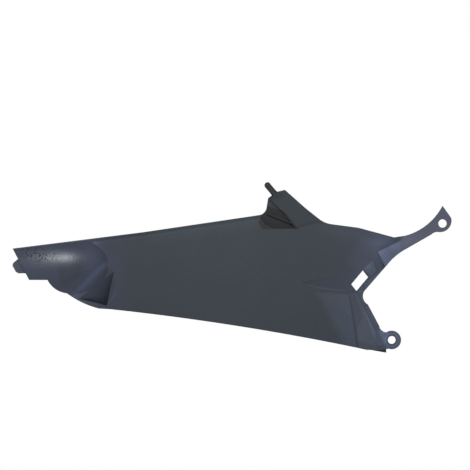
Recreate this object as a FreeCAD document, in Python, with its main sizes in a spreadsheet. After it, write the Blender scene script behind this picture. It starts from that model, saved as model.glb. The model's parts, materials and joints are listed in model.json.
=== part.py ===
import FreeCAD, Part
import math
import os
import Sketcher

os.makedirs("parts", exist_ok=True)
doc = FreeCAD.newDocument("inner_fairing_panel")

# Lengths in millimetres, angles in degrees.
# X runs along the panel, Z up and Y away from the viewer of the face.
# The origin is the centre of the upper mounting hole on its front face.
LENGTHS = {
    # moulding
    "wall": 2.5,
    "lug_plate": 3.0,
    "flange_back": 16.0,
    "block_depth": 120.0,
    # top edge, from the arm back to the nose
    "arm_reach": 42.0,
    "arm_fall": 17.6,
    "taper_run": 6.0,
    "taper_rise": 3.7,
    "brow_run": 36.0,
    "brow_rise": 9.7,
    "bracket_foot_run": 28.0,
    "bracket_foot_rise": 3.7,
    "peak_run": 72.0,
    "peak_rise": 8.9,
    "top_run": 116.1,
    "top_fall": 17.1,
    "sweep_run": 130.5,
    "sweep_fall": 16.3,
    # nose outline
    "nose_height": 31.5,
    "nose_lean": 17.0,
    "nose_floor": 18.5,
    "nose_shoulder_run": 19.0,
    "nose_shoulder_drop": 13.5,
    "nose_shoulder_radius": 24.0,
    "lobe_run": 32.0,
    "lobe_drop": 15.2,
    "lobe_radius": 90.0,
    "lobe_foot": 12.0,
    "bottom_sweep_radius": 2460.0,
    # notch between the two lugs
    "shelf_run": 23.0,
    "shelf_drop": 10.9,
    "step_run": 9.0,
    "step_drop": 13.7,
    "throat_run": 20.1,
    "throat_drop": 23.1,
    "throat_height": 15.7,
    "throat_radius": 9.6,
    "notch_run": 11.5,
    "notch_drop": 22.0,
    # crown of the main face
    "main_crown_radius": 650.0,
    "face_plan_radius": 2000.0,
    "face_crest_depth": -1.0,
    "face_crest_drop": 66.4,
    "top_roll": 6.0,
    # swelling of the nose
    "nose_radius": 42.0,
    "nose_tip_radius": 200.0,
    "nose_fade_radius": 100.0,
    "nose_crest_run": 55.6,
    "nose_crest_drop": 18.0,
    "nose_crest_depth": -3.6,
    "nose_roll": 5.0,
    # recess behind the nose
    "recess_run": 8.0,
    "recess_lip": 3.2,
    "recess_depth": 15.0,
    "recess_mouth_reach": 87.7,
    "recess_mouth_rise": 21.1,
    "recess_mouth_top": 78.3,
    "recess_mouth_lean": 16.4,
    # valley running to the slot
    "valley_run": 64.0,
    "valley_rise": 10.0,
    "valley_depth": 7.5,
    "valley_above": 88.0,
    "valley_below": 122.0,
    "valley_clear": 16.0,
    # flared facets beside the notch
    "flare_depth": -7.0,
    "rim_width": 7.0,
    "rim_depth": 4.0,
    # arm and upper lug
    "arm_radius": 59.3,
    "arm_tip_rise": 17.7,
    "lug_edge": 8.6,
    "lug_edge_rise": 5.7,
    "lug_round": 11.5,
    "lug_root_in": 4.1,
    "lug_root_drop": 8.6,
    "lug_neck_in": 11.1,
    "lug_neck_drop": 11.0,
    "neck_fillet": 8.0,
    "upper_hole": 8.4,
    # slot
    "slot_run": 6.7,
    "slot_rise": 8.0,
    "slot_width": 8.6,
    "slot_length": 18.0,
    # lower lug
    "lower_run": 12.0,
    "lower_fall": 13.3,
    "lower_lug": 18.6,
    "lower_hole": 7.9,
    "lower_ring": 14.0,
    "lower_seat": -6.0,
    # bracket with its locating pin
    "bracket_width": 26.4,
    "bracket_height": 25.3,
    "lip_sag": 13.6,
    "bracket_front": 4.0,
    "pocket_floor": 10.0,
    "rib": 1.6,
    "pin": 6.2,
    "pin_length": 19.5,
    "pin_free": 12.4,
    "pin_depth": 7.1,
    # locating tab of the nose
    "tab_reach": 0.6,
    "tab_drop": 11.0,
    "tab_height": 14.0,
    "tab_depth": 13.0,
    # return lip at the tail
    "lip_width": 22.0,
    "lip_drop": 3.0,
}

sheet = doc.addObject("Spreadsheet::Sheet", "dims")
for row, (alias, number) in enumerate(LENGTHS.items(), start=1):
    sheet.set(f"A{row}", alias)
    sheet.set(f"B{row}", str(number))
    sheet.setAlias(f"B{row}", alias)
doc.recompute()


class Size:
    """A length with the sheet expression that drives it."""

    def __init__(self, number, text):
        self.number = number
        self.text = text

    def __add__(self, other):
        other = sized(other)
        return Size(self.number + other.number, f"({self.text} + {other.text})")

    def __sub__(self, other):
        other = sized(other)
        return Size(self.number - other.number, f"({self.text} - {other.text})")

    def __mul__(self, other):
        other = sized(other)
        return Size(self.number * other.number, f"({self.text} * {other.text})")

    def __truediv__(self, other):
        other = sized(other)
        return Size(self.number / other.number, f"({self.text} / {other.text})")

    def __neg__(self):
        return Size(-self.number, f"(0 - {self.text})")

    def root(self):
        """The square root of this value."""
        return Size(math.sqrt(self.number), f"sqrt({self.text})")


def sized(value):
    """A plain number or a Size, as a Size."""
    if isinstance(value, Size):
        return value
    return Size(float(value), f"({value})")


def dim(alias):
    """The named length of the sheet."""
    return Size(LENGTHS[alias], f"dims.{alias}")


def new_body(label):
    """An empty body."""
    body = doc.addObject("PartDesign::Body", label)
    body.Label = label
    return body


def new_sketch(body, name, role, offset=0):
    """An empty sketch on one of the body's own planes, moved along its normal."""
    sketch = body.newObject("Sketcher::SketchObject", name)
    plane = [feature for feature in body.Origin.OriginFeatures if feature.Role == role][0]
    sketch.AttachmentSupport = (plane, [""])
    sketch.MapMode = "FlatFace"
    offset = sized(offset)
    sketch.AttachmentOffset = FreeCAD.Placement(FreeCAD.Vector(0, 0, offset.number), FreeCAD.Rotation())
    sketch.setExpression(".AttachmentOffset.Base.z", offset.text)
    return sketch


def drive(sketch, constraint, text):
    """Add a sized constraint and bind it to its expression."""
    index = sketch.addConstraint(constraint)
    sketch.setExpression(f"Constraints[{index}]", text)


def pin_point(sketch, geometry, end, corner):
    """Hold one end of an edge at a driven place."""
    across, up = sized(corner[0]), sized(corner[1])
    drive(sketch, Sketcher.Constraint("DistanceX", -1, 1, geometry, end, across.number), across.text)
    drive(sketch, Sketcher.Constraint("DistanceY", -1, 1, geometry, end, up.number), up.text)


def arc_between(start, finish, radius):
    """The arc from start to finish; a positive radius bulges to the right of travel."""
    chord = finish - start
    middle = (start + finish) * 0.5
    reach = math.sqrt(radius * radius - chord.Length * chord.Length / 4.0)
    left = FreeCAD.Vector(-chord.y, chord.x, 0).normalize()
    centre = middle + left * reach * (1 if radius > 0 else -1)
    first, last = (start, finish) if radius > 0 else (finish, start)
    circle = Part.Circle(centre, FreeCAD.Vector(0, 0, 1), abs(radius))
    return Part.ArcOfCircle(circle, circle.parameter(first), circle.parameter(last))


def draw(sketch, corners):
    """A closed outline of (across, up) corners; a third value makes the edge that
    leaves the corner an arc of that radius, bulging to the right when positive."""
    count = len(corners)
    spots = [FreeCAD.Vector(sized(c[0]).number, sized(c[1]).number, 0) for c in corners]
    ends = []
    for i, corner in enumerate(corners):
        start, finish = spots[i], spots[(i + 1) % count]
        if len(corner) == 3:
            radius = sized(corner[2])
            edge = sketch.addGeometry(arc_between(start, finish, radius.number), False)
            ends.append((edge, 1, 2) if radius.number > 0 else (edge, 2, 1))
        else:
            edge = sketch.addGeometry(Part.LineSegment(start, finish), False)
            ends.append((edge, 1, 2))
    for i, corner in enumerate(corners):
        edge, first, last = ends[i]
        following = ends[(i + 1) % count]
        sketch.addConstraint(Sketcher.Constraint("Coincident", edge, last, following[0], following[1]))
        pin_point(sketch, edge, first, corner)
        if len(corner) == 3:
            radius = sized(corner[2])
            size = radius if radius.number > 0 else -radius
            drive(sketch, Sketcher.Constraint("Radius", edge, size.number), size.text)
    return sketch


def pad(body, name, sketch, length, backward=False, both=False):
    """Extrude a sketch towards the viewer, or away from them."""
    feature = body.newObject("PartDesign::Pad", name)
    feature.Profile = sketch
    length = sized(length)
    feature.Length = length.number
    feature.setExpression("Length", length.text)
    feature.Reversed = backward
    if both:
        feature.Midplane = True
    return feature


def turn(body, name, sketch, angle, backward=False):
    """Revolve a sketch about its first construction line."""
    feature = body.newObject("PartDesign::Revolution", name)
    feature.Profile = sketch
    feature.ReferenceAxis = (sketch, ["Axis0"])
    feature.Angle = angle.number
    feature.setExpression("Angle", angle.text)
    feature.Reversed = backward
    return feature


def loft(body, name, sketches):
    """A solid with straight flanks through two outlines."""
    feature = body.newObject("PartDesign::AdditiveLoft", name)
    feature.Profile = sketches[0]
    feature.Sections = sketches[1:]
    feature.Ruled = True
    return feature


def shifted(place, across, up, *radius):
    """A place moved from another by driven lengths."""
    return (place[0] + across, place[1] + up) + radius


def spot_of(place):
    """A place as a point of a sketch."""
    return FreeCAD.Vector(place[0].number, place[1].number, 0)


# Corners of the outline, each set out from its neighbour, starting at the upper hole.
taper = (-dim("arm_reach"), -dim("arm_fall"))
taper_tip = shifted(taper, 4, 5.2)
crotch = shifted(taper, -dim("taper_run"), dim("taper_rise"))
brow = shifted(crotch, -dim("brow_run"), dim("brow_rise"))
bracket_foot = shifted(brow, -dim("bracket_foot_run"), dim("bracket_foot_rise"))
peak = shifted(bracket_foot, -dim("peak_run"), dim("peak_rise"))
sweep = shifted(peak, -dim("top_run"), -dim("top_fall"))
nose_top = shifted(sweep, -dim("sweep_run"), -dim("sweep_fall"))
heel = shifted(nose_top, dim("nose_lean"), -dim("nose_height"))
step = shifted(heel, dim("nose_floor"), 0)
lobe = shifted(step, dim("nose_shoulder_run"), -dim("nose_shoulder_drop"))
foot = shifted(lobe, dim("lobe_run"), -dim("lobe_drop"))
shelf = shifted(taper, -dim("shelf_run"), -dim("shelf_drop"))
throat_top = shifted(shelf, dim("step_run"), -dim("step_drop"))
throat = shifted(throat_top, -dim("throat_run"), -dim("throat_drop"))
throat_foot = shifted(throat, 1.5, -dim("throat_height"))
notch_end = shifted(throat_foot, dim("notch_run"), -dim("notch_drop"))
lower = shifted(notch_end, dim("lower_run"), -dim("lower_fall"))
tail = shifted(lower, -25, -10.1)
sag = peak[1] - dim("lip_sag")


def plate_corners(inset):
    """The outline moved inwards; each row is a corner, its inward lean, and the radius
    of the arc that leaves it."""
    rows = [
        (nose_top, 1.56, -0.78),
        (sweep, 0.14, -1),
        (peak, -0.46, -1.08),
        ((peak[0] + 7, sag + 3.7), -0.65, -0.81),
        ((peak[0] + 16, sag), -0.2, -1),
        ((peak[0] + 38, sag), 0.16, -1),
        ((peak[0] + 57, sag + 6.2), 0.1, -1.02),
        (bracket_foot, -0.13, -1),
        (brow, -0.22, -1),
        (crotch, -0.4, -0.95),
        (taper_tip, -1.2, -1.3),
        (taper, -1.1, 0.3),
        (shelf, -1.47, 0.41),
        (throat_top, -1.25, 0.1),
        (throat, -0.76, 0.65, dim("throat_radius") + inset),
        (throat_foot, -0.89, -0.46),
        (notch_end, -1, -0.26),
        ((tail[0] + 14, tail[1]), -1.04, 1),
        (tail, 0.08, 1, dim("bottom_sweep_radius")),
        ((foot[0] + dim("lobe_foot"), foot[1] - 0.7), 0.05, 1),
        (foot, 0.15, 1, inset - dim("lobe_radius")),
        (lobe, 0.38, 0.96, inset - dim("nose_shoulder_radius")),
        (step, 0.63, 1),
        (heel, 0.6, 1),
    ]
    return [(row[0][0] + inset * row[1], row[0][1] + inset * row[2]) + row[3:] for row in rows]


def plate_block(label, inset):
    """The outline of the long plate as a deep block."""
    body = new_body(label + "_plate")
    outline = draw(new_sketch(body, label + "_edge", "XZ_Plane"), plate_corners(inset))
    pad(body, label + "_block", outline, dim("block_depth"), both=True)
    return body


def crowned(body, name, x, crest_z, depth, radius, plan_radius, half_height, back, inset, angle, backward):
    """A face curved both ways: an upright arc turned about an upright axis."""
    front = depth + inset
    bend = radius - inset
    half = half_height
    drop = bend - (bend * bend - half * half).root()
    section = new_sketch(body, name, "YZ_Plane", x)
    corners = [
        (front + drop, crest_z + half, bend),
        (front + drop, crest_z - half),
        (back, crest_z - half),
        (back, crest_z + half),
    ]
    draw(section, corners)
    axis_y = depth + plan_radius
    top, foot = crest_z + half, crest_z - half
    line = Part.LineSegment(spot_of((axis_y, foot)), spot_of((axis_y, top)))
    axis = section.addGeometry(line, True)
    pin_point(section, axis, 1, (axis_y, foot))
    pin_point(section, axis, 2, (axis_y, top))
    return turn(body, name + "_turn", section, angle, backward)


def swing(reach, radius):
    """The angle that carries a turned face over that reach."""
    return Size(math.degrees(math.asin(reach.number / radius.number)), f"asin({reach.text} / {radius.text})")


def formed_block(label, inset, back):
    """The face of the nose and of the long plate, moved inwards by the inset."""
    plan = dim("face_plan_radius")
    face = new_body(label + "_face")
    crest = peak[1] - dim("face_crest_drop")
    form = (crest, dim("face_crest_depth"), dim("main_crown_radius"), plan, sized(90))
    left = dim("top_run") + dim("sweep_run") - 58
    right = dim("peak_run") + dim("bracket_foot_run") + dim("brow_run") + 16
    crowned(face, label + "_face_left", peak[0], *form, back, inset, swing(left, plan), True)
    crowned(face, label + "_face_right", peak[0], *form, back, inset, swing(right, plan), False)

    crest = shifted(nose_top, dim("nose_crest_run"), -dim("nose_crest_drop"))
    nose = new_body(label + "_nose")
    for side, radius, reach, backward in (
        ("left", dim("nose_tip_radius"), dim("nose_crest_run") + 6, True),
        ("right", dim("nose_fade_radius"), sized(50), False),
    ):
        crowned(nose, f"{label}_nose_{side}", crest[0], crest[1], dim("nose_crest_depth"), dim("nose_radius"),
                radius, sized(34), back, inset, swing(reach, radius), backward)
    return face, nose


def valley(label, inset):
    """The wedge that presses the valley into the face, deepest beside the slot."""
    body = new_body(label + "_valley")
    start_x = throat[0] - dim("valley_run")
    end_x = throat[0] - 2
    start_z = throat[1] + dim("valley_rise") - 5
    end_z = throat[1] - 5
    start = new_sketch(body, label + "_valley_start", "YZ_Plane", start_x)
    draw(start, [
        (inset - 12, start_z + 34),
        (inset + 0.2, start_z),
        (inset - 12, start_z - 34),
    ])
    end = new_sketch(body, label + "_valley_end", "YZ_Plane", end_x)
    draw(end, [
        (inset - dim("valley_clear"), end_z + dim("valley_above")),
        (inset + dim("valley_depth"), end_z),
        (inset - dim("valley_clear"), end_z - dim("valley_below")),
    ])
    loft(body, label + "_valley_cut", [start, end])
    return body


def flare(label, inset, back):
    """The facets that turn forward along the notch, down to the lower lug."""
    body = new_body(label + "_flare")
    head_z = throat[1] - 4
    foot_z = tail[1] - 6
    root = dim("valley_depth") + inset
    width = dim("rim_width")
    head = new_sketch(body, label + "_flare_head", "XY_Plane", head_z)
    draw(head, [
        (throat[0] - 16.5, root - 0.6),
        (throat[0] - 8.5, root - 1.6),
        (throat[0] + width - 8.5, dim("rim_depth") + inset - 1),
        (throat[0] + width - 8.5, back),
        (throat[0] - 16.5, back),
    ])
    foot_sketch = new_sketch(body, label + "_flare_foot", "XY_Plane", foot_z)
    draw(foot_sketch, [
        (lower[0] - 31.5, inset + 1.5),
        (lower[0] - 4.5, dim("flare_depth") + inset),
        (lower[0] + width, dim("flare_depth") + inset - 4),
        (lower[0] + width, back),
        (lower[0] - 31.5, back),
    ])
    loft(body, label + "_flare_block", [head, foot_sketch])
    return body


def collar(label, inset, back):
    """The light patch and rim beside the slot, from the arm down to the throat."""
    body = new_body(label + "_collar")
    head = new_sketch(body, label + "_collar_head", "XY_Plane", shelf[1] + 5)
    draw(head, [
        (shelf[0] - 3, dim("rim_depth") + inset + 2.4),
        (shelf[0] + 9, dim("rim_depth") + inset - 0.5),
        (shelf[0] + 19, dim("rim_depth") + inset - 0.5),
        (shelf[0] + 19, back),
        (shelf[0] - 3, back),
    ])
    base = new_sketch(body, label + "_collar_foot", "XY_Plane", throat[1] - 4)
    draw(base, [
        (throat[0] - 8.5, dim("valley_depth") + inset - 1.6),
        (throat[0] + dim("rim_width") - 8.5, dim("rim_depth") + inset - 1),
        (throat[0] + dim("rim_width") + 6, dim("rim_depth") + inset - 1),
        (throat[0] + dim("rim_width") + 6, back),
        (throat[0] - 8.5, back),
    ])
    loft(body, label + "_collar_block", [base, head])
    return body


def recess(label, inset):
    """The three-sided pocket behind the nose: its floor falls from a slanting ridge to a
    deep corner above the bottom edge."""
    body = new_body(label + "_recess")
    deep = shifted(foot, dim("recess_run") + inset, dim("recess_lip") - inset)
    front = new_sketch(body, label + "_recess_mouth", "XZ_Plane", sized(10) - inset * 1.3)
    draw(front, [
        shifted(deep, dim("recess_mouth_lean"), dim("recess_mouth_top")),
        shifted(deep, 0.4, -0.4),
        shifted(deep, -dim("recess_mouth_reach"), dim("recess_mouth_rise")),
    ])
    back = new_sketch(body, label + "_recess_corner", "XZ_Plane", -dim("recess_depth") - inset * 1.3)
    draw(back, [
        shifted(deep, 0.2, 1),
        deep,
        shifted(deep, -1, 0.3),
    ])
    loft(body, label + "_recess_cut", [front, back])
    return body


def fuse(label, shapes):
    feature = doc.addObject("Part::MultiFuse", label)
    feature.Shapes = shapes
    return feature


def cut(label, base, tool):
    feature = doc.addObject("Part::Cut", label)
    feature.Base = base
    feature.Tool = tool
    return feature


def common(label, shapes):
    feature = doc.addObject("Part::MultiCommon", label)
    feature.Shapes = shapes
    return feature


def top_line(x):
    """Height of the top edge at x, along the outline."""
    line = [nose_top, sweep, peak, bracket_foot, brow, crotch]
    for start, finish in zip(line, line[1:]):
        if start[0].number <= x <= finish[0].number:
            share = (x - start[0].number) / (finish[0].number - start[0].number)
            return start[1].number + share * (finish[1].number - start[1].number)
    return None


def rolled(label, base, radius, last_x):
    """The formed block with its top front edge rolled back."""
    body = doc.addObject("PartDesign::Body", label)
    body.Label = label
    body.BaseFeature = base
    doc.recompute()
    names = []
    for i, edge in enumerate(body.Shape.Edges, start=1):
        middle = edge.valueAt((edge.FirstParameter + edge.LastParameter) / 2)
        height = top_line(middle.x)
        if height is None or middle.x > last_x.number or middle.y > dim("flange_back").number - 1:
            continue
        lies_along = edge.BoundBox.XLength > 12
        if abs(height - middle.z) < dim("wall").number * 1.6 and lies_along:
            names.append(f"Edge{i}")
    fillet = body.newObject("PartDesign::Fillet", label + "_roll")
    fillet.Base = (body.BaseFeature, names)
    fillet.Radius = radius.number
    fillet.setExpression("Radius", radius.text)
    return body


def formed(label, inset, back):
    """The whole form trimmed by the outline, with every surface moved in by the inset."""
    face, nose = formed_block(label, inset, back)
    prism = plate_block(label, inset)
    grooved = cut(label + "_grooved", face, valley(label, inset))
    joined = fuse(label + "_joined", [grooved, flare(label, inset, back), collar(label, inset, back)])
    plate = common(label + "_trimmed", [joined, prism])
    if inset.number == 0:
        plate = rolled(label + "_rolled", plate, dim("top_roll"), peak[0])
    nosed = common(label + "_nosed", [nose, prism])
    tip = rolled(label + "_tip", nosed, dim("nose_roll") - inset, nose_top[0] + 100)
    both = fuse(label + "_both", [plate, tip])
    return cut(label + "_form", both, recess(label, inset))


outer = formed("outer", sized(0), dim("flange_back"))
inner = formed("inner", dim("wall"), dim("flange_back") + 8)
skin = cut("skin", outer, inner)
doc.recompute()

panel = doc.addObject("PartDesign::Body", "inner_fairing_panel")
panel.Label = "inner_fairing_panel"
panel.BaseFeature = skin
doc.recompute()


def spot(name, depth, centre, diameter):
    """A sketch of the panel with one driven circle, at a depth."""
    sketch = new_sketch(panel, name, "XZ_Plane", -sized(depth))
    circle = Part.Circle(spot_of(centre), FreeCAD.Vector(0, 0, 1), diameter.number / 2)
    edge = sketch.addGeometry(circle, False)
    pin_point(sketch, edge, 3, centre)
    drive(sketch, Sketcher.Constraint("Diameter", edge, diameter.number), diameter.text)
    return sketch


def block(name, corners, front, back):
    """A pad of the panel between two depths."""
    front = sized(front)
    sketch = draw(new_sketch(panel, name + "_outline", "XZ_Plane", -sized(front)), corners)
    return pad(panel, name, sketch, sized(back) - front, backward=True)


def opening(name, sketch, length):
    """A cut through the panel, from the sketch away from the viewer."""
    feature = panel.newObject("PartDesign::Pocket", name)
    feature.Profile = sketch
    length = sized(length)
    feature.Length = length.number
    feature.setExpression("Length", length.text)
    return feature


# Box of the bracket: a deep floor behind, a cover plate in front, its sides and a rib.
corner = shifted(peak, dim("bracket_width"), dim("bracket_height"))
floor_y = dim("pocket_floor")
front_y = dim("bracket_front")
left_x = peak[0] + 8
flank = shifted(corner, 21.1, -18.7)
block("bracket_floor", [
    (peak[0], peak[1], 9),
    (left_x, peak[1] + 7),
    (left_x + 1.6, corner[1] - 8.2),
    (left_x + 7, corner[1] - 4.3),
    shifted(corner, -7.4, -1.7),
    corner,
    flank,
    shifted(flank, 12.6, -10, 26),
    bracket_foot,
    shifted(bracket_foot, -6, -8),
    (peak[0] + 38, sag - 5),
    (peak[0] + 14, sag - 5),
    (peak[0] - 1, peak[1] - 4),
], floor_y, floor_y + dim("wall"))
cover_left = (left_x + 3.5, corner[1] - 9.7)
cover_bend = (peak[0] + 25, peak[1] + 2.6)
block("bracket_cover", [
    cover_left,
    shifted(corner, -7.4, -1.7),
    corner,
    flank,
    shifted(flank, 12.6, -10, 26),
    bracket_foot,
    shifted(bracket_foot, -6, -6),
    (peak[0] + 42, sag - 6),
    cover_bend,
], front_y, front_y + dim("wall"))
block("bracket_side", [
    cover_left,
    shifted(cover_left, 2.5, 1),
    shifted(cover_bend, 2.4, 1.2),
    (peak[0] + 44, sag - 5),
    (peak[0] + 42, sag - 6),
    cover_bend,
], front_y, floor_y + dim("wall"))
block("bracket_edge", [
    shifted(corner, -7.4, -1.7),
    corner,
    flank,
    shifted(flank, 12.6, -10, 26),
    bracket_foot,
    shifted(bracket_foot, -4, -3),
    shifted(flank, 10, -11.5),
    shifted(flank, -2.5, -1.5),
    shifted(corner, -1, -3),
    shifted(corner, -7, -4.5),
], front_y, floor_y + dim("wall"))
block("pocket_rib", [
    (left_x - 0.5, peak[1] + 1.4),
    (left_x - 0.5, peak[1] + 1.4 + dim("rib")),
    (peak[0] + 39, peak[1] - 11.4 + dim("rib")),
    (peak[0] + 39, peak[1] - 11.4),
], front_y + 2, floor_y + 1)

# Locating pin.
pin_r = dim("pin") / 2
along_x, along_z = -0.64, 0.768
pin_end = shifted(corner, -19.4, 7)
pin_root = shifted(pin_end, dim("pin_length") * -along_x, dim("pin_length") * -along_z)
pin_foot = shifted(pin_end, dim("pin_free") * -along_x, dim("pin_free") * -along_z)
bead = shifted(pin_end, pin_r * -along_x, pin_r * -along_z)
pin_sketch = new_sketch(panel, "pin_outline", "XZ_Plane", -dim("pin_depth"))
draw(pin_sketch, [
    pin_root,
    pin_end + (pin_r,),
    shifted(bead, pin_r * along_z, pin_r * -along_x),
    shifted(pin_foot, pin_r * along_z, pin_r * -along_x),
    shifted(pin_foot, (pin_r + 0.2) * along_z, (pin_r + 0.2) * -along_x),
    shifted(pin_root, (pin_r + 0.2) * along_z, (pin_r + 0.2) * -along_x),
])
spine = Part.LineSegment(spot_of(pin_root), spot_of(pin_end))
axis = pin_sketch.addGeometry(spine, True)
pin_point(pin_sketch, axis, 1, pin_root)
pin_point(pin_sketch, axis, 2, pin_end)
turn(panel, "locating_pin", pin_sketch, sized(360))

# Arm and upper lug.
boundary = [
    shifted(shelf, -0.5, 1),
    shifted(shelf, 8, 4.5),
    shifted(taper, 0, 1),
]
block("arm", boundary + [
    taper_tip + (dim("arm_radius"),),
    (sized(0), dim("arm_tip_rise")),
    (dim("lug_edge"), dim("lug_edge_rise"), -dim("lug_round")),
    (-dim("lug_root_in"), -dim("lug_root_drop"), dim("neck_fillet")),
    (-dim("lug_neck_in"), -dim("lug_neck_drop")),
    shifted(taper, 2, -9.9) + (dim("arm_radius"),),
    throat_top,
], 0, dim("lug_plate"))
block("arm_root", boundary + [
    taper_tip,
    shifted(taper, 4, 1),
    shifted(taper, 1, -2.6),
    shifted(shelf, 10, 1.5),
    shifted(shelf, 3.5, -1.5),
    shifted(throat_top, 1, 1.6),
    shifted(throat_top, -1.4, -1.6),
], 0, 9)

# Lower lug on its web, with a raised ring round its hole.
seat = dim("lower_seat")
lug_r = dim("lower_lug") / 2
block("lower_web", [
    shifted(notch_end, -3, 0),
    shifted(notch_end, -1.1, 2) + (sized(9),),
    (lower[0] - 4.2, lower[1] + lug_r * 0.8),
    lower,
    (lower[0] - 1, lower[1] - lug_r * 0.9),
    shifted(tail, 14, 0),
    shifted(tail, 8, 8),
], seat + 0.4, seat + dim("lug_plate") + 1)
lower_outline = spot("lower_lug_outline", seat, lower, dim("lower_lug"))
pad(panel, "lower_lug", lower_outline, dim("lug_plate"), backward=True)
pad(panel, "lower_ring", spot("lower_ring_outline", seat, lower, dim("lower_ring")), 0.8)

# Return lip that shows below the tail.
block("tail_lip", [
    shifted(tail, -2, 0.8),
    shifted(tail, dim("lip_width") - 2, -dim("lip_drop")),
    shifted(tail, dim("lip_width") - 2, 1),
    shifted(tail, 10, 4),
    shifted(tail, -2, 4),
], 6, dim("flange_back"))

# Locating tab behind the open end of the nose.
tab = shifted(nose_top, -dim("tab_reach"), -dim("tab_drop"))
block("nose_tab", [
    shifted(tab, 5, 0),
    shifted(tab, 18, 0),
    (tab[0] + 18, tab[1] - dim("tab_height")),
    (tab[0] + 6, tab[1] - dim("tab_height")),
    (tab[0] + 3.5, tab[1] - dim("tab_height") + 1.5),
    shifted(tab, 0, -6),
    shifted(tab, 1, -3.5),
], dim("tab_depth"), dim("tab_depth") + dim("wall"))

# Slot and mounting holes.
slot = shifted(throat, -dim("slot_run"), dim("slot_rise"))
run_x, run_z = dim("slot_length") * 0.318, dim("slot_length") * 0.386
side_x, side_z = dim("slot_width") * 0.307, dim("slot_width") * -0.395
slot_sketch = new_sketch(panel, "slot_outline", "XZ_Plane", 30)
draw(slot_sketch, [
    (slot[0] + run_x - side_x, slot[1] + run_z - side_z),
    (slot[0] + run_x + side_x, slot[1] + run_z + side_z),
    (slot[0] - run_x + side_x, slot[1] - run_z + side_z),
    (slot[0] - run_x - side_x, slot[1] - run_z - side_z),
])
opening("slot", slot_sketch, 60)
opening("upper_hole", spot("upper_hole_outline", -30, (sized(0), sized(0)), dim("upper_hole")), 60)
opening("lower_hole", spot("lower_hole_outline", -30, lower, dim("lower_hole")), 60)

doc.recompute()
faults = [item.Label for item in doc.Objects if "Invalid" in item.State or "Error" in item.State]
if faults or panel.Shape.isNull() or not panel.Shape.isValid() or len(panel.Shape.Solids) != 1:
    raise RuntimeError(f"the panel is not one sound solid: {faults}")
panel.Shape.exportStep("parts/inner_fairing_panel.step")
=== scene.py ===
import json
import math

import bmesh
import bpy
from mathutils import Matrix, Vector


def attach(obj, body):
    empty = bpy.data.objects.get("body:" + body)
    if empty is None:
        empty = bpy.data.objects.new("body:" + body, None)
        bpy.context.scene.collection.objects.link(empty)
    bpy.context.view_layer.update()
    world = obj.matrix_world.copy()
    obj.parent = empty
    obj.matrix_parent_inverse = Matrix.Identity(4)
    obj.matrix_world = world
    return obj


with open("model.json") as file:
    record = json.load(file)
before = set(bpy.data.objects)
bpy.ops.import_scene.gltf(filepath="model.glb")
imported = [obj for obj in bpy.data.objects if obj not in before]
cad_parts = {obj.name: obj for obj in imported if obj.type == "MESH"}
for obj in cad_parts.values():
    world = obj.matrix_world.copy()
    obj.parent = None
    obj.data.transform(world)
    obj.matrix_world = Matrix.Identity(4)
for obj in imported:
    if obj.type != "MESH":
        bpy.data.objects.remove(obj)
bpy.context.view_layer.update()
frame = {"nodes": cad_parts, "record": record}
panel = frame["nodes"]["inner_fairing_panel"]
mounts = {mount["name"]: mount for mount in frame["record"]["mounts"]}

# Photograph: one pixel is one millimetre, and the upper hole's centre is at this place.
HOLE_PX = (442.6, 223.5)
PIXEL_CENTRE = 0.5
FRAME_PX = 470.0
CAMERA_FAR = 3.2

# Lower hole in millimetres, as the marks on the face are.
LOWER_HOLE = [1000.0 * value for value in mounts["lower_hole"]["pos_m"]]

# Ends of the panel, in metres from the upper hole.
PANEL_ENDS = (-0.432, 0.01)
# Places along it where an effect starts and where it is full: painted shade beside the nose, painted light
# near the arm, and the glossier nose.
SHADE_NEAR_NOSE = (-0.190, -0.340)
SHADE_PAST_NOSE = (-0.350, -0.330)
LIGHT_NEAR_ARM = (-0.135, -0.065)
GLOSSY_NOSE = (-0.338, -0.362)

# Moulded texture: how fine each noise is.
CLOUD_SCALE = 38.0
GRAIN_SCALE = 620.0
SPECK_SCALE = 520.0

# Locating pin's rounded end, in metres: how far its tip stands past the mount, and its radius.
BEAD_TIP_REACH = 0.00775
BEAD_RADIUS = 0.00314
BEAD_STEPS = 36

# Studio: glow of the surroundings, floor height and lamp targets in metres.
GLOW = 0.52
FLOOR_Z = -0.32
FLOOR_LIFT = 0.5
NOSE = (-0.375, 0.0, -0.04)
MIDDLE = (-0.21, 0.0, -0.05)


def node(tree, kind, **values):
    """A node with its inputs or properties set."""
    made = tree.nodes.new(kind)
    for name, value in values.items():
        if hasattr(made, name):
            setattr(made, name, value)
        else:
            made.inputs[name.replace("_", " ")].default_value = value
    return made


def at(px, py):
    """A place in the photograph as millimetres across and up from the upper hole."""
    return (px - (HOLE_PX[0] - PIXEL_CENTRE), HOLE_PX[1] - PIXEL_CENTRE - py)


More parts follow.
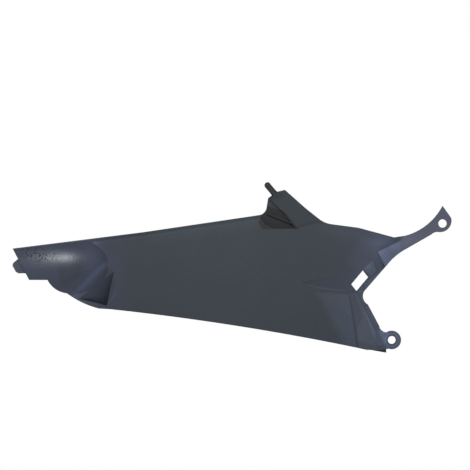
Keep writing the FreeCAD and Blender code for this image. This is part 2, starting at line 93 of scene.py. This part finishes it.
class Marks:
    """Soft-edged areas of the panel's face, as factors between 0 and 1."""

    def __init__(self, tree, place):
        self.tree = tree
        self.link = tree.links.new
        self.place = node(tree, "ShaderNodeVectorMath", operation="SCALE", Scale=1000.0)
        self.link(place, self.place.inputs[0])

    def math(self, operation, first, second, third=None):
        """A math node over two or three values or sockets."""
        made = node(self.tree, "ShaderNodeMath", operation=operation)
        for slot, value in enumerate((first, second, third)):
            if value is None:
                continue
            if isinstance(value, (int, float)):
                made.inputs[slot].default_value = value
            else:
                self.link(value, made.inputs[slot])
        return made.outputs[0]

    def step(self, value, low, high):
        """A smooth step of a value from 0 at low to 1 at high."""
        made = node(self.tree, "ShaderNodeMapRange", interpolation_type="SMOOTHSTEP")
        made.inputs["From Min"].default_value = low
        made.inputs["From Max"].default_value = high
        self.link(value, made.inputs["Value"])
        return made.outputs["Result"]

    def side(self, start, finish, inner, soft):
        """1 on the side of a line where the inner point lies."""
        run = (finish[0] - start[0], finish[1] - start[1])
        size = math.hypot(*run)
        normal = (-run[1] / size, run[0] / size)
        if (inner[0] - start[0]) * normal[0] + (inner[1] - start[1]) * normal[1] < 0:
            normal = (-normal[0], -normal[1])
        offset = start[0] * normal[0] + start[1] * normal[1]
        dot = node(self.tree, "ShaderNodeVectorMath", operation="DOT_PRODUCT")
        self.link(self.place.outputs[0], dot.inputs[0])
        dot.inputs[1].default_value = (normal[0], 0, normal[1])
        return self.step(dot.outputs["Value"], offset - soft / 2, offset + soft / 2)

    def area(self, corners, soft):
        """1 inside a convex outline; soft is one width, or one for each side."""
        softs = soft if isinstance(soft, (list, tuple)) else [soft] * len(corners)
        inner = (sum(c[0] for c in corners) / len(corners), sum(c[1] for c in corners) / len(corners))
        mark = None
        for start, finish, width in zip(corners, corners[1:] + corners[:1], softs):
            part = self.side(start, finish, inner, width)
            mark = part if mark is None else self.math("MULTIPLY", mark, part)
        return mark

    def stroke(self, start, finish, width, soft):
        """1 along a straight line of some width."""
        run = (finish[0] - start[0], finish[1] - start[1])
        size = math.hypot(*run)
        across = (-run[1] / size * width / 2, run[0] / size * width / 2)
        return self.area([
            (start[0] + across[0], start[1] + across[1]),
            (finish[0] + across[0], finish[1] + across[1]),
            (finish[0] - across[0], finish[1] - across[1]),
            (start[0] - across[0], start[1] - across[1]),
        ], soft)

    def blob(self, centre, reach, tilt=0.0):
        """1 at the centre of an ellipse, fading to 0 at its rim."""
        moved = node(self.tree, "ShaderNodeMapping", vector_type="TEXTURE")
        moved.inputs["Location"].default_value = (centre[0], 0, centre[1])
        moved.inputs["Rotation"].default_value = (0, math.radians(tilt), 0)
        moved.inputs["Scale"].default_value = (reach[0], 1e6, reach[1])
        self.link(self.place.outputs[0], moved.inputs["Vector"])
        size = node(self.tree, "ShaderNodeVectorMath", operation="LENGTH")
        self.link(moved.outputs[0], size.inputs[0])
        return self.step(size.outputs["Value"], 1.0, 0.0)

    def ring(self, distance, inner, outer):
        """1 between two radii: each is a pair of distances over which it fades in or out."""
        return self.math("MULTIPLY", self.step(distance, *inner), self.step(distance, *outer))

    def gained(self, tone, mark, gain):
        """A tone made paler or darker by a gain where the mark is 1."""
        return self.math("MULTIPLY", tone, self.math("MULTIPLY_ADD", mark, gain, 1.0))


# Areas of painted light and painted shade on the face, paler or darker than the panel round them: corners,
# softness, gain.
PAINTED_LIGHT_AND_SHADE_AREAS = [
    # Painted light on the strip below the nose and on its faint upper end.
    ([at(70, 294), at(97, 267), at(104, 261), at(108, 263), at(74, 297)], [1.5, 3, 5, 5, 3], 0.62),
    ([at(97, 268), at(112, 252), at(124, 262), at(111, 268)], [3, 10, 10, 4], 0.14),
    # Painted shade on the floor of the recess and on the nose's shaded flank, and a painted highlight on
    # the recess's far edge.
    ([at(77, 298.5), at(110, 266), at(116, 284), at(106, 306), at(96, 308)], [4, 2, 1.5, 1.5, 1.5], -0.28),
    ([at(54, 262), at(82, 258), at(80, 276), at(62, 288)], 7, -0.24),
    ([at(115, 270), at(124, 266), at(122, 285), at(108, 305)], [3, 6, 5, 1.5], 0.14),
    # Painted light at the end of the nose where it meets the face.
    ([at(78, 240), at(95, 240), at(104, 262), at(104, 285), at(88, 285)], [8, 2, 1, 4, 8], 0.12),
    # Painted light on the valley and on the facets beside the notch, from left to right.
    ([at(300, 283), at(362, 272), at(362, 291.5), at(330, 291)], [3, 8, 3, 2], 0.50),
    ([at(300, 283), at(352, 292), at(352, 316)], [4, 2, 8], 0.12),
    ([at(316, 291), at(348, 294), at(356, 346), at(346, 346)], [6, 1.5, 8, 10], 0.52),
    ([at(349, 292), at(356, 292), at(375, 331), at(375, 346), at(358, 340)], 1.5, 0.40),
    ([at(357, 291), at(366, 290), at(388, 332), at(384, 345), at(376, 345)], 1.5, 0.50),
    # Painted light round the slot: left of it, above it and on the lip below it.
    ([at(363, 269), at(372, 260), at(376, 270), at(371, 276)], 2, 0.75),
    ([at(372, 256), at(379, 251), at(387, 265), at(379, 272)], 2, 0.10),
    ([at(364, 283), at(388, 264), at(390, 268), at(374, 288), at(366, 294)], [2, 2, 2, 2, 3], 0.75),
    # Painted light on the arm's root, the arm and the lower lug.
    ([at(377, 251.5), at(400, 240), at(400, 264), at(386, 268)], [1, 0.01, 2, 1], 1.25),
    ([at(400, 180), at(460, 180), at(460, 262), at(400, 262)], [1, 1, 1, 0.01], 0.80),
    ([at(378, 330), at(406, 322), at(406, 352), at(386, 350)], 4, 1.0),
    # Painted shade in the bracket's pocket, on the pin and on the bracket's cover.
    ([at(266, 205), at(284, 211), at(298, 228), at(262, 229), at(258, 222)], 1.5, -0.97),
    ([at(256, 178), at(270, 178), at(283, 196), at(268, 202)], 1.5, -0.40),
    ([at(269, 199), at(285, 188), at(321, 219), at(314, 226), at(296, 226)], 1.5, -0.10),
    # Painted light on the face under the top edge, left and right of the bracket, and beside the arm's
    # root.
    ([at(150, 231), at(258, 214), at(258, 225), at(150, 242)], [4, 8, 14, 20], 0.36),
    ([at(321, 221), at(358, 227), at(393, 238), at(393, 246), at(320, 232)], [3, 3, 6, 8, 6], 0.22),
    ([at(360, 236), at(386, 244), at(374, 262), at(360, 276), at(348, 262)], 10, 0.30),
]
# Painted shade along thin creases and painted highlights along edges: start, finish, width, softness,
# gain.
PAINTED_SHADE_AND_HIGHLIGHT_STROKES = [
    # Painted shade beside the strip below the nose, and a painted highlight on the recess's far edge.
    (at(71, 295), at(108, 258), 0.8, 1.2, -0.20),
    (at(116, 292), at(106, 305.5), 0.7, 0.9, 0.70),
    # Painted shade in the valley's crease and in the lines between the facets.
    (at(320, 290), at(352, 292.5), 1.6, 2.0, -0.28),
    (at(349.5, 294), at(356, 334), 0.9, 1.0, -0.42),
    (at(357.5, 294), at(375.5, 331), 0.9, 1.0, -0.42),
    # A painted highlight on the slot's lower edge, and painted shade at the arm's root.
    (at(364, 277.5), at(372.5, 284), 0.8, 1.0, 0.35),
    (at(377, 251.5), at(386, 265.5), 0.8, 0.9, -0.50),
    (at(377, 251.5), at(400, 240.5), 0.8, 1.2, -0.25),
    # A painted highlight on the rib in the bracket's pocket.
    (at(268, 213.5), at(297, 226), 1.2, 1.0, 1.10),
]
# Round painted highlights at the arm's root, each fading from its centre: centre, reach, tilt and gain.
PAINTED_HIGHLIGHT_BLOBS = [
    (at(404, 242), (26, 9), -25, 0.35),
    (at(368, 266), (6, 6), 0, 0.25),
    (at(382, 242), (24, 16), -25, 0.55),
    (at(381, 258), (12, 14), 0, 0.35),
]
# Speckled wear on the top of the nose: centre, reach and tilt.
WORN_NOSE = (at(33, 252), (34, 16), 8)
# Base colour along the panel, from the nose to the arm, with a painted bluish reflection at both ends.
COLOUR_AND_REFLECTION_ALONG = [
    (0.0, (0.0200, 0.0250, 0.0440, 1)),
    (0.235, (0.0170, 0.0215, 0.0380, 1)),
    (0.29, (0.0145, 0.0195, 0.0265, 1)),
    (0.62, (0.0140, 0.0190, 0.0240, 1)),
    (0.74, (0.0165, 0.0206, 0.0285, 1)),
    (0.86, (0.0180, 0.0216, 0.0345, 1)),
    (0.90, (0.0250, 0.0256, 0.0370, 1)),
    (1.0, (0.0250, 0.0262, 0.0390, 1)),
]


def noise(tree, place, scale, detail, roughness):
    """A noise over the panel, between 0 and 1."""
    made = node(tree, "ShaderNodeTexNoise", Scale=scale, Detail=detail, Roughness=roughness)
    tree.links.new(place, made.inputs["Vector"])
    return made.outputs["Fac"]


def spread(tree, value, low, high):
    """The middle part of a noise, spread between two factors."""
    made = node(tree, "ShaderNodeMapRange", From_Min=0.3, From_Max=0.7, To_Min=low, To_Max=high)
    tree.links.new(value, made.inputs["Value"])
    return made.outputs["Result"]


def colour_and_reflection_along(tree, across):
    """The base colour at a place along the panel, with the painted reflection at its ends."""
    ramp = node(tree, "ShaderNodeValToRGB")
    stops = ramp.color_ramp.elements
    stops[0].color = COLOUR_AND_REFLECTION_ALONG[0][1]
    stops[1].color = COLOUR_AND_REFLECTION_ALONG[-1][1]
    for position, colour in COLOUR_AND_REFLECTION_ALONG[1:-1]:
        stops.new(position).color = colour
    reach = node(tree, "ShaderNodeMapRange", From_Min=PANEL_ENDS[0], From_Max=PANEL_ENDS[1])
    tree.links.new(across, reach.inputs["Value"])
    tree.links.new(reach.outputs["Result"], ramp.inputs["Fac"])
    return ramp.outputs["Color"]


def marked(marks, tone, across):
    """A tone with the painted light and shade of the face's areas, creases and round marks, and its slow
    painted changes along X.
    """
    for corners, soft, gain in PAINTED_LIGHT_AND_SHADE_AREAS:
        tone = marks.gained(tone, marks.area(corners, soft), gain)
    for start, finish, width, soft, gain in PAINTED_SHADE_AND_HIGHLIGHT_STROKES:
        tone = marks.gained(tone, marks.stroke(start, finish, width, soft), gain)
    for centre, reach, tilt, gain in PAINTED_HIGHLIGHT_BLOBS:
        tone = marks.gained(tone, marks.blob(centre, reach, tilt), gain)
    # Painted shade on the face beside the nose.
    painted_shade_beside_nose = marks.math("MULTIPLY", marks.step(across, *SHADE_NEAR_NOSE), marks.step(across, *SHADE_PAST_NOSE))
    tone = marks.gained(tone, painted_shade_beside_nose, -0.26)
    # Painted light on the face towards the arm.
    return marks.gained(tone, marks.step(across, *LIGHT_NEAR_ARM), 0.22)


def ring_shade_and_highlight(marks, tone):
    """A tone with the pressed ring round the lower hole: painted shade in its groove and a painted
    highlight on its edge.
    """
    lug = node(marks.tree, "ShaderNodeVectorMath", operation="DISTANCE")
    marks.link(marks.place.outputs[0], lug.inputs[0])
    lug.inputs[1].default_value = LOWER_HOLE
    distance = lug.outputs["Value"]
    tone = marks.gained(tone, marks.ring(distance, (3.9, 4.6), (6.0, 5.2)), -0.45)
    return marks.gained(tone, marks.ring(distance, (5.4, 6.2), (7.8, 6.8)), 0.35)


def plastic():
    """Dark slate moulded plastic with a fine grain, a painted bluish reflection at the ends, and painted
    light and shade on its face.
    """
    material = bpy.data.materials.new("slate_plastic")
    material.use_nodes = True
    tree = material.node_tree
    link = tree.links.new
    shader = tree.nodes["Principled BSDF"]
    coordinates = node(tree, "ShaderNodeTexCoord")
    place = coordinates.outputs["Object"]
    split = node(tree, "ShaderNodeSeparateXYZ")
    link(place, split.inputs[0])
    across = split.outputs["X"]
    marks = Marks(tree, place)

    # Soft mottling of the moulding, a fine grain and the specks on the nose.
    cloud = noise(tree, place, CLOUD_SCALE, 3.0, 0.5)
    grain = noise(tree, place, GRAIN_SCALE, 2.0, 0.6)
    speck = noise(tree, place, SPECK_SCALE, 1.0, 0.4)
    specks = marks.math("MULTIPLY", marks.step(speck, 0.52, 0.60), marks.blob(*WORN_NOSE))
    tone = marks.math("MULTIPLY", spread(tree, cloud, 0.95, 1.05), spread(tree, grain, 0.90, 1.10))
    tone = marks.gained(tone, specks, -0.75)
    # Painted light and shade of the face, and round the lower hole.
    tone = ring_shade_and_highlight(marks, marked(marks, tone, across))

    # The grain, specks and painted light and shade lie on the face alone, and the back stays plain.
    facing = node(tree, "ShaderNodeSeparateXYZ")
    link(coordinates.outputs["Normal"], facing.inputs[0])
    face = marks.step(facing.outputs["Y"], 0.08, 0.0)
    tone = marks.math("MULTIPLY_ADD", face, marks.math("SUBTRACT", tone, 1.0), 1.0)
    colour = node(tree, "ShaderNodeVectorMath", operation="SCALE")
    link(colour_and_reflection_along(tree, across), colour.inputs[0])
    link(tone, colour.inputs["Scale"])
    link(colour.outputs[0], shader.inputs["Base Color"])

    # The nose is glossier than the grained face, save for its specks.
    rough = marks.math("MULTIPLY_ADD", marks.step(across, *GLOSSY_NOSE), -0.30, 0.65)
    rough = marks.math("MULTIPLY_ADD", specks, 0.45, rough)
    link(rough, shader.inputs["Roughness"])
    bump = node(tree, "ShaderNodeBump", Strength=0.25, Distance=0.0004)
    link(grain, bump.inputs["Height"])
    link(bump.outputs["Normal"], shader.inputs["Normal"])
    shader.inputs["Specular IOR Level"].default_value = 0.34
    return material


slate = plastic()
panel.data.materials.clear()
panel.data.materials.append(slate)


def bead_rings():
    """Rings of the pin's dome and sleeve, each as its way back from the tip and its radius."""
    rings = []
    for degrees in range(8, 91, 8):
        angle = math.radians(degrees)
        rings.append((BEAD_RADIUS * (1 - math.cos(angle)), BEAD_RADIUS * math.sin(angle)))
    rings.append((BEAD_RADIUS, BEAD_RADIUS))
    rings.append((BEAD_RADIUS * 1.5, BEAD_RADIUS))
    rings.append((BEAD_RADIUS * 1.55, BEAD_RADIUS * 0.97))
    return rings


def pin_bead():
    """The rounded end of the locating pin, a lathed dome with a short sleeve over the shank."""
    pin = mounts["locating_pin"]
    back = -Vector(pin["axis"]).normalized()
    tip = Vector(pin["pos_m"]) - back * BEAD_TIP_REACH
    side = back.cross(Vector((0, 1, 0))).normalized()
    over = back.cross(side)
    rings = bead_rings()
    points = [tip]
    for run, size in rings:
        for i in range(BEAD_STEPS):
            turn = 2 * math.pi * i / BEAD_STEPS
            points.append(tip + back * run + (side * math.cos(turn) + over * math.sin(turn)) * size)
    points.append(tip + back * rings[-1][0])
    faces = [(0, 1 + (i + 1) % BEAD_STEPS, 1 + i) for i in range(BEAD_STEPS)]
    for r in range(len(rings) - 1):
        low = 1 + r * BEAD_STEPS
        high = low + BEAD_STEPS
        for i in range(BEAD_STEPS):
            j = (i + 1) % BEAD_STEPS
            faces.append((low + i, low + j, high + j, high + i))
    last = 1 + (len(rings) - 1) * BEAD_STEPS
    faces += [(len(points) - 1, last + i, last + (i + 1) % BEAD_STEPS) for i in range(BEAD_STEPS)]
    made = bpy.data.meshes.new("pin_bead")
    made.from_pydata([tuple(p) for p in points], [], faces)
    made.update()
    outward = bmesh.new()
    outward.from_mesh(made)
    bmesh.ops.recalc_face_normals(outward, faces=outward.faces)
    outward.to_mesh(made)
    outward.free()
    for face in made.polygons:
        face.use_smooth = True
    bead = bpy.data.objects.new("pin_bead", made)
    bpy.context.collection.objects.link(bead)
    bead.data.materials.append(slate)
    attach(bead, "root")


pin_bead()
bpy.context.view_layer.update()


def area_light(name, place, target, size, watts, colour):
    """A square soft light aimed at a point."""
    lamp = bpy.data.lights.new(name, "AREA")
    lamp.shape = "SQUARE"
    lamp.size = size
    lamp.energy = watts
    lamp.color = colour
    made = bpy.data.objects.new(name, lamp)
    made.location = place
    made.rotation_euler = (Vector(target) - Vector(place)).to_track_quat("-Z", "Y").to_euler()
    bpy.context.collection.objects.link(made)


area_light("key", (-0.58, -1.78, 0.76), NOSE, 0.22, 27, (0.94, 0.97, 1.0))
area_light("side", (-1.10, -2.00, 0.25), MIDDLE, 0.9, 4, (0.88, 0.94, 1.0))


def seen_rays(tree):
    """1 for rays from the camera and for those that gloss and glass send out."""
    path = node(tree, "ShaderNodeLightPath")
    first = node(tree, "ShaderNodeMath", operation="MAXIMUM")
    tree.links.new(path.outputs["Is Camera Ray"], first.inputs[0])
    tree.links.new(path.outputs["Is Glossy Ray"], first.inputs[1])
    both = node(tree, "ShaderNodeMath", operation="MAXIMUM")
    tree.links.new(first.outputs[0], both.inputs[0])
    tree.links.new(path.outputs["Is Transmission Ray"], both.inputs[1])
    return both.outputs[0]


def white_world():
    """White surroundings, with a softer glow on the panel."""
    world = bpy.data.worlds.new("studio")
    world.use_nodes = True
    tree = world.node_tree
    tree.nodes.clear()
    out = node(tree, "ShaderNodeOutputWorld")
    seen = node(tree, "ShaderNodeBackground", Color=(1, 1, 1, 1), Strength=1.0)
    glow = node(tree, "ShaderNodeBackground", Color=(0.84, 0.93, 1.0, 1), Strength=GLOW)
    choose = node(tree, "ShaderNodeMixShader")
    tree.links.new(seen_rays(tree), choose.inputs[0])
    tree.links.new(glow.outputs[0], choose.inputs[1])
    tree.links.new(seen.outputs[0], choose.inputs[2])
    tree.links.new(choose.outputs[0], out.inputs["Surface"])
    bpy.context.scene.world = world


def floor_material():
    """A pale matt floor that looks nearly white and keeps a shadow."""
    pale = bpy.data.materials.new("floor")
    pale.use_nodes = True
    tree = pale.node_tree
    tree.nodes.clear()
    out = node(tree, "ShaderNodeOutputMaterial")
    matt = node(tree, "ShaderNodeBsdfDiffuse", Color=(0.8, 0.8, 0.8, 1))
    lift = node(tree, "ShaderNodeEmission", Color=(1, 1, 1, 1))
    share = node(tree, "ShaderNodeMath", operation="MULTIPLY")
    tree.links.new(seen_rays(tree), share.inputs[0])
    share.inputs[1].default_value = FLOOR_LIFT
    tree.links.new(share.outputs[0], lift.inputs["Strength"])
    both = node(tree, "ShaderNodeAddShader")
    tree.links.new(matt.outputs[0], both.inputs[0])
    tree.links.new(lift.outputs[0], both.inputs[1])
    tree.links.new(both.outputs[0], out.inputs["Surface"])
    return pale


def pale_floor():
    """A floor below the panel, out of the photograph's frame."""
    corners = [(-1.4, -1.0, FLOOR_Z), (1.0, -1.0, FLOOR_Z), (1.0, 0.7, FLOOR_Z), (-1.4, 0.7, FLOOR_Z)]
    mesh = bpy.data.meshes.new("floor")
    mesh.from_pydata(corners, [], [(0, 1, 2, 3)])
    mesh.materials.append(floor_material())
    floor = bpy.data.objects.new("floor", mesh)
    bpy.context.collection.objects.link(floor)


def photo_camera():
    """A camera straight on to the face, far away with a long lens."""
    view = bpy.data.cameras.new("camera")
    view.type = "PERSP"
    view.sensor_width = 36.0
    view.lens = view.sensor_width * CAMERA_FAR / (FRAME_PX / 1000.0)
    view.clip_end = 20.0
    camera = bpy.data.objects.new("camera", view)
    across = (FRAME_PX / 2 - HOLE_PX[0]) / 1000.0
    up = (HOLE_PX[1] - FRAME_PX / 2) / 1000.0
    camera.location = (across, -CAMERA_FAR, up)
    camera.rotation_euler = (math.radians(90), 0, 0)
    bpy.context.collection.objects.link(camera)
    bpy.context.scene.camera = camera


white_world()
pale_floor()
photo_camera()
bpy.context.scene.view_settings.view_transform = "Standard"
